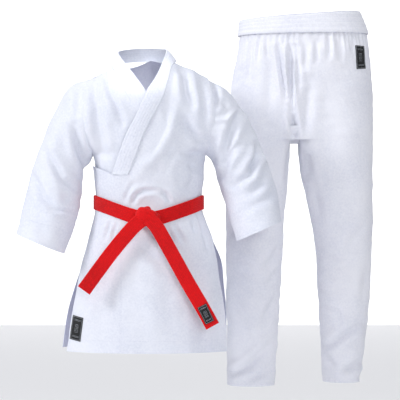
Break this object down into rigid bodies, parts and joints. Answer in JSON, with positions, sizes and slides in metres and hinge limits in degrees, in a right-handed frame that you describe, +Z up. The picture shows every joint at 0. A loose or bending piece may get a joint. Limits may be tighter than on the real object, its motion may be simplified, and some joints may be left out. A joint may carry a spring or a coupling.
{
  "type": "martial arts uniform",
  "caption": "White wrap-over martial arts uniform: jacket with wide lapels, short sleeves, side vents and a knotted red belt, beside elastic-waist trousers.",
  "frame": {"origin": "middle of the chest between the two shoulder seams, at shoulder seam height, where a wearer or hanger carries the jacket", "axes": "+Z up, -Y the way the wearer faces, +X the wearer's left"},
  "size_m": [0.982, 0.4497, 1.0521],
  "materials": {
    "jacket_canvas": "matt bleached cotton canvas",
    "facing_canvas": "matt bleached cotton, inner side",
    "trouser_cotton": "matt bleached cotton drill",
    "knitted_elastic": "ribbed elastic",
    "belt_cotton": "red cotton, rows of stitching",
    "woven_label": "black woven damask with a thin silver border"
  },
  "bodies": {
    "jacket": {"front_panel_over": "jacket_canvas", "front_panel_under": "jacket_canvas", "back_panel_left": "jacket_canvas", "back_panel_right": "jacket_canvas", "lapel_over": "jacket_canvas", "lapel_under": "jacket_canvas", "collar_back": "jacket_canvas", "belt_turn_inner": "belt_cotton", "belt_turn_outer": "belt_cotton", "belt_knot": "belt_cotton", "jacket_label": "woven_label"},
    "back_skirt": {"back_skirt_left": "jacket_canvas", "back_skirt_right": "jacket_canvas"},
    "belt_end_left": {"belt_tail_left": "belt_cotton", "belt_label": "woven_label"},
    "belt_end_right": {"belt_tail_right": "belt_cotton"},
    "upper_sleeve_left": {"sleeve_upper_left": "jacket_canvas"},
    "upper_sleeve_right": {"sleeve_upper_right": "jacket_canvas"},
    "lower_sleeve_left": {"sleeve_lower_left": "jacket_canvas", "cuff_facing_left": "facing_canvas"},
    "lower_sleeve_right": {"sleeve_lower_right": "jacket_canvas", "cuff_facing_right": "facing_canvas"},
    "trousers": {"waist_casing_outer": "trouser_cotton", "waist_casing_inner": "trouser_cotton", "waist_elastic": "knitted_elastic", "hip_panel_left": "trouser_cotton", "hip_panel_right": "trouser_cotton", "crotch_gusset": "trouser_cotton", "trouser_label": "woven_label"},
    "thigh_left": {"trouser_thigh_left": "trouser_cotton"},
    "thigh_right": {"trouser_thigh_right": "trouser_cotton"},
    "shin_left": {"trouser_shin_left": "trouser_cotton", "leg_hem_left": "facing_canvas"},
    "shin_right": {"trouser_shin_right": "trouser_cotton", "leg_hem_right": "facing_canvas"}
  },
  "joints": [
    {"name": "back_skirt_lift", "type": "hinge", "parent": "jacket", "child": "back_skirt", "pos_m": [0, 0.0922, -0.4027], "axis": [1, 0, 0], "range_deg": [0, 35], "stiffness_Nm_per_rad": 0.5, "springref_deg": -11.46},
    {"name": "belt_end_left_swing", "type": "hinge", "parent": "jacket", "child": "belt_end_left", "pos_m": [-0.006, -0.142, -0.409], "axis": [0, -1, 0], "range_deg": [-32, 30]},
    {"name": "belt_end_right_swing", "type": "hinge", "parent": "jacket", "child": "belt_end_right", "pos_m": [-0.006, -0.136, -0.409], "axis": [0, 1, 0], "range_deg": [-40, 28]},
    {"name": "shoulder_left_lift", "type": "hinge", "parent": "jacket", "child": "upper_sleeve_left", "pos_m": [0.1595, 0, -0.037], "axis": [0, -1, 0], "range_deg": [0, 60]},
    {"name": "shoulder_right_lift", "type": "hinge", "parent": "jacket", "child": "upper_sleeve_right", "pos_m": [-0.1675, 0, -0.036], "axis": [0, 1, 0], "range_deg": [0, 60]},
    {"name": "elbow_left_bend", "type": "hinge", "parent": "upper_sleeve_left", "child": "lower_sleeve_left", "pos_m": [0.255, -0.0785, -0.306], "axis": [-0.9315, 0, -0.3638], "range_deg": [0, 90], "stiffness_Nm_per_rad": 0.3, "springref_deg": -22.92},
    {"name": "elbow_right_bend", "type": "hinge", "parent": "upper_sleeve_right", "child": "lower_sleeve_right", "pos_m": [-0.2565, -0.0785, -0.337], "axis": [-0.9768, 0, 0.214], "range_deg": [0, 90], "stiffness_Nm_per_rad": 0.3, "springref_deg": -22.92},
    {"name": "trousers_set_apart", "type": "slide", "parent": "jacket", "child": "trousers", "axis": [1, 0, 0], "range_m": [0, 0.25]},
    {"name": "leg_left_spread", "type": "hinge", "parent": "trousers", "child": "thigh_left", "pos_m": [0.6255, 0.204, -0.1945], "axis": [0, -1, 0], "range_deg": [0, 12], "stiffness_Nm_per_rad": 2.5, "springref_deg": -14.32},
    {"name": "leg_right_spread", "type": "hinge", "parent": "trousers", "child": "thigh_right", "pos_m": [0.2125, 0.204, -0.1945], "axis": [0, 1, 0], "range_deg": [0, 12], "stiffness_Nm_per_rad": 2.5, "springref_deg": -14.32},
    {"name": "knee_left_bend", "type": "hinge", "parent": "thigh_left", "child": "shin_left", "pos_m": [0.542, 0.2755, -0.4857], "axis": [1, 0, 0], "range_deg": [0, 100], "stiffness_Nm_per_rad": 1, "springref_deg": -17.19},
    {"name": "knee_right_bend", "type": "hinge", "parent": "thigh_right", "child": "shin_right", "pos_m": [0.289, 0.2755, -0.4857], "axis": [1, 0, 0], "range_deg": [0, 100], "stiffness_Nm_per_rad": 1, "springref_deg": -17.19}
  ]
}
